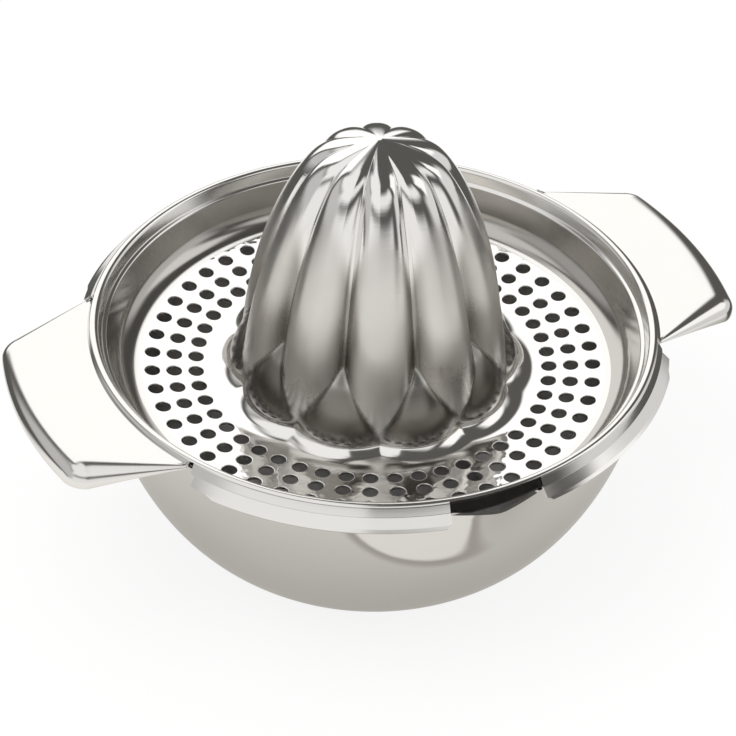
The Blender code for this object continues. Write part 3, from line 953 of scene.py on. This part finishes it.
# Studio: a sheet of white paper on a table, with pale walls and softboxes round it and grey room between.
# Bright steel shows little else than what stands round it, so each has its place by azimuth and height.
CAMERA_AZIMUTH = -24.7
CAMERA_ELEVATION = 39.13
CAMERA_ROLL = -1.80
CAMERA_DISTANCE = 0.5623
CAMERA_LENS = 128.5
FRAMING = (0.00102, 0.00216)
PAPER_HALF_WIDTH = 0.135
PAPER_FAR_EDGE = 0.26
LIT_PATCH_MIDDLE = (0.0215, -0.0782, 0.0)
LIT_PATCH_TURN = math.radians(31.4)
LIT_PATCH_HALF_SIZE = (0.036, 0.0118, 1.0)
# Shares of its own light that the paper shows to the camera, where it is white, and to the steel.
PAPER_GLOW_SEEN = 0.85
PAPER_GLOW_REFLECTED = 0.6
LAMP_PLACE = Vector((-0.35, -0.1, 0.9))


def make_world():
    """Walls and softboxes that only bright surfaces show, round an even white light for everything else."""
    world = bpy.data.worlds.new("studio")
    bpy.context.scene.world = world
    world.use_nodes = True
    tree = world.node_tree
    tree.nodes.clear()
    way = add_node(tree, "ShaderNodeTexCoord")
    turned = add_node(
        tree,
        "ShaderNodeMapping",
        {"Vector": way.outputs["Generated"], "Rotation": (0.0, 0.0, math.radians(-CAMERA_AZIMUTH))},
    )
    parts = add_node(tree, "ShaderNodeSeparateXYZ", {0: turned})
    azimuth = add_node(
        tree, "ShaderNodeMath", {0: parts.outputs["X"], 1: parts.outputs["Y"]}, operation="ARCTAN2"
    )
    height = add_node(tree, "ShaderNodeMath", {0: parts.outputs["Z"]}, operation="ARCSINE")
    # What stands where: azimuth from and to, height from and to, and softness, in degrees, then its colour
    # and brightness. Azimuth 0 is behind the juicer as the camera sees it, and 90 is to its right.
    surroundings = (
        ("room", -360, 360, -91, 91, 1, "#5c5b58", 1.0),
        ("front_wall_right", 128, 200, -20, 20, 16, "#ffffff", 0.95),
        ("front_wall_left", -200, -112, -20, 27, 16, "#ffffff", 0.95),
        ("left_wall", -128, -60, 4, 42, 14, "#ffffff", 0.6),
        ("front_softbox_right", 108, 200, 40, 64, 16, "#ffffff", 0.95),
        ("front_softbox_left", -200, -112, 36, 76, 16, "#ffffff", 1.0),
        ("left_softbox", -200, -24, 60, 90, 14, "#ffffff", 1.0),
        ("left_softbox_low", -125, -60, 46, 70, 14, "#ffffff", 1.0),
        ("right_wall", 46, 104, -6, 30, 14, "#ffffff", 0.8),
        ("right_softbox", 56, 90, 26, 58, 8, "#ffffff", 1.2),
        ("back_softbox", -48, 14, 2, 56, 8, "#ffffff", 1.3),
    )
    shown = None
    for _, left, right, low, high, soft, colour, brightness in surroundings:
        inside = 1.0
        half = math.radians(soft) / 2
        sides = ((azimuth, left, 1), (azimuth, right, -1), (height, low, 1), (height, high, -1))
        for value, edge, sign in sides:
            edge = math.radians(edge)
            ramp = add_node(
                tree,
                "ShaderNodeMapRange",
                {"Value": value, "From Min": edge - sign * half, "From Max": edge + sign * half},
                interpolation_type="SMOOTHSTEP",
            )
            inside = add_node(tree, "ShaderNodeMath", {0: inside, 1: ramp}, operation="MULTIPLY")
        below = linear("#000000") if shown is None else shown.outputs[2]
        glow = [brightness * part for part in linear(colour)[:3]] + [1.0]
        shown = add_node(tree, "ShaderNodeMix", {0: inside, 6: below, 7: glow}, data_type="RGBA")
    reflected = add_node(tree, "ShaderNodeBackground", {"Color": shown.outputs[2], "Strength": 1.0})
    plain = add_node(tree, "ShaderNodeBackground", {"Color": linear("#ffffff"), "Strength": 1.0})
    path = add_node(tree, "ShaderNodeLightPath")
    mixed = add_node(tree, "ShaderNodeMixShader", {0: path.outputs["Is Glossy Ray"], 1: plain, 2: reflected})
    add_node(tree, "ShaderNodeOutputWorld", {"Surface": mixed})


def make_table():
    """White paper, matt and even. Only the steel shows its lit patch and the darker table round the sheet."""
    material = bpy.data.materials.new("white_paper")
    material.use_nodes = True
    tree = material.node_tree
    tree.nodes.clear()
    place = add_node(tree, "ShaderNodeTexCoord")
    turned = add_node(
        tree,
        "ShaderNodeMapping",
        {"Vector": place.outputs["Object"], "Rotation": (0.0, 0.0, math.radians(-CAMERA_AZIMUTH))},
    )
    parts = add_node(tree, "ShaderNodeSeparateXYZ", {0: turned})
    aside = add_node(tree, "ShaderNodeMath", {0: parts.outputs["X"]}, operation="ABSOLUTE")
    from_middle = add_node(
        tree, "ShaderNodeVectorMath", {0: place.outputs["Object"]}, operation="LENGTH"
    ).outputs["Value"]
    lit_patch = add_node(
        tree,
        "ShaderNodeMapping",
        {
            "Vector": turned,
            "Location": LIT_PATCH_MIDDLE,
            "Rotation": (0.0, 0.0, LIT_PATCH_TURN),
            "Scale": LIT_PATCH_HALF_SIZE,
        },
        vector_type="TEXTURE",
    )
    from_patch = add_node(tree, "ShaderNodeVectorMath", {0: lit_patch}, operation="LENGTH").outputs["Value"]
    # Soft edges, from nothing to full: beside the paper, in its far half, past its far end, clear of the
    # juicer's own shade, and the lit patch's shaded rim and bright middle, counted in its half sizes
    soft_edges = (
        (aside, PAPER_HALF_WIDTH - 0.012, PAPER_HALF_WIDTH + 0.012),
        (parts.outputs["Y"], -0.02, 0.03),
        (parts.outputs["Y"], PAPER_FAR_EDGE - 0.03, PAPER_FAR_EDGE + 0.03),
        (from_middle, 0.035, 0.150),
        (from_patch, 1.36, 1.08),
        (from_patch, 1.05, 0.92),
    )
    edged = []
    for value, start, end in soft_edges:
        limits = {"Value": value, "From Min": start, "From Max": end}
        edged.append(add_node(tree, "ShaderNodeMapRange", limits, interpolation_type="SMOOTHSTEP"))
    beside, behind, far_end, clear, patch_rim, patch_middle = edged
    off_paper = add_node(tree, "ShaderNodeMath", {0: beside, 1: behind}, operation="MULTIPLY")
    off_paper = add_node(tree, "ShaderNodeMath", {0: off_paper, 1: far_end}, operation="MAXIMUM")
    reflected = linear("#cbc8c3")
    layers = ((clear, "#f4f3f1"), (off_paper, "#5a5a57"), (patch_rim, "#b3afa8"), (patch_middle, "#f6f4f0"))
    for share, layer_colour in layers:
        mixed = {0: share, 6: reflected, 7: linear(layer_colour)}
        reflected = add_node(tree, "ShaderNodeMix", mixed, data_type="RGBA").outputs[2]
    path = add_node(tree, "ShaderNodeLightPath")
    colour = add_node(
        tree,
        "ShaderNodeMix",
        {0: path.outputs["Is Glossy Ray"], 6: linear("#f4f4f2"), 7: reflected},
        data_type="RGBA",
    )
    paper = add_node(tree, "ShaderNodeBsdfDiffuse", {"Color": colour.outputs[2]})
    shown = add_node(
        tree,
        "ShaderNodeMix",
        {0: path.outputs["Is Glossy Ray"], 6: linear("#ffffff"), 7: reflected},
        data_type="RGBA",
    )
    glow = add_node(tree, "ShaderNodeEmission", {"Color": shown.outputs[2], "Strength": 1.0})
    to_camera = add_node(
        tree, "ShaderNodeMath", {0: path.outputs["Is Camera Ray"], 1: PAPER_GLOW_SEEN}, operation="MULTIPLY"
    )
    lit = add_node(
        tree,
        "ShaderNodeMath",
        {0: path.outputs["Is Glossy Ray"], 1: PAPER_GLOW_REFLECTED, 2: to_camera},
        operation="MULTIPLY_ADD",
    )
    surface = add_node(tree, "ShaderNodeMixShader", {0: lit, 1: paper, 2: glow})
    add_node(tree, "ShaderNodeOutputMaterial", {"Surface": surface})
    mesh = bpy.data.meshes.new("paper")
    mesh.from_pydata([(-2, -2, 0), (2, -2, 0), (2, 2, 0), (-2, 2, 0)], [], [(0, 1, 2, 3)])
    mesh.materials.append(material)
    table = bpy.data.objects.new("paper", mesh)
    bpy.context.scene.collection.objects.link(table)


def make_lamp():
    """One large softbox overhead, for the soft shadow; the steel shows the walls above and not this lamp."""
    lamp = bpy.data.lights.new("overhead_softbox", "AREA")
    lamp.shape = "SQUARE"
    lamp.size = 0.5
    lamp.energy = 3.0
    holder = bpy.data.objects.new("overhead_softbox", lamp)
    holder.location = LAMP_PLACE
    holder.rotation_mode = "QUATERNION"
    holder.rotation_quaternion = LAMP_PLACE.to_track_quat("Z", "Y")
    holder.visible_glossy = False
    holder.visible_camera = False
    bpy.context.scene.collection.objects.link(holder)


def make_camera():
    """A long lens that looks down on the top from the front left, turned by a small roll."""
    azimuth, elevation = math.radians(CAMERA_AZIMUTH), math.radians(CAMERA_ELEVATION)
    back = Vector(
        (
            math.sin(azimuth) * math.cos(elevation),
            -math.cos(azimuth) * math.cos(elevation),
            math.sin(elevation),
        )
    )
    level_right = Vector((math.cos(azimuth), math.sin(azimuth), 0.0))
    level_up = back.cross(level_right)
    roll = math.radians(CAMERA_ROLL)
    right = level_right * math.cos(roll) - level_up * math.sin(roll)
    up = level_right * math.sin(roll) + level_up * math.cos(roll)
    target = Vector((0.0, 0.0, STRAINER_LIFT))
    place = target - right * FRAMING[0] - up * FRAMING[1] + back * CAMERA_DISTANCE
    data = bpy.data.cameras.new("camera")
    data.lens = CAMERA_LENS
    data.sensor_width = 36.0
    data.clip_start, data.clip_end = 0.01, 20.0
    camera = bpy.data.objects.new("camera", data)
    camera.matrix_world = Matrix.Translation(place) @ Matrix((right, up, back)).transposed().to_4x4()
    bpy.context.scene.collection.objects.link(camera)
    bpy.context.scene.camera = camera


make_world()
make_table()
make_lamp()
make_camera()
bpy.context.scene.view_settings.view_transform = "Standard"
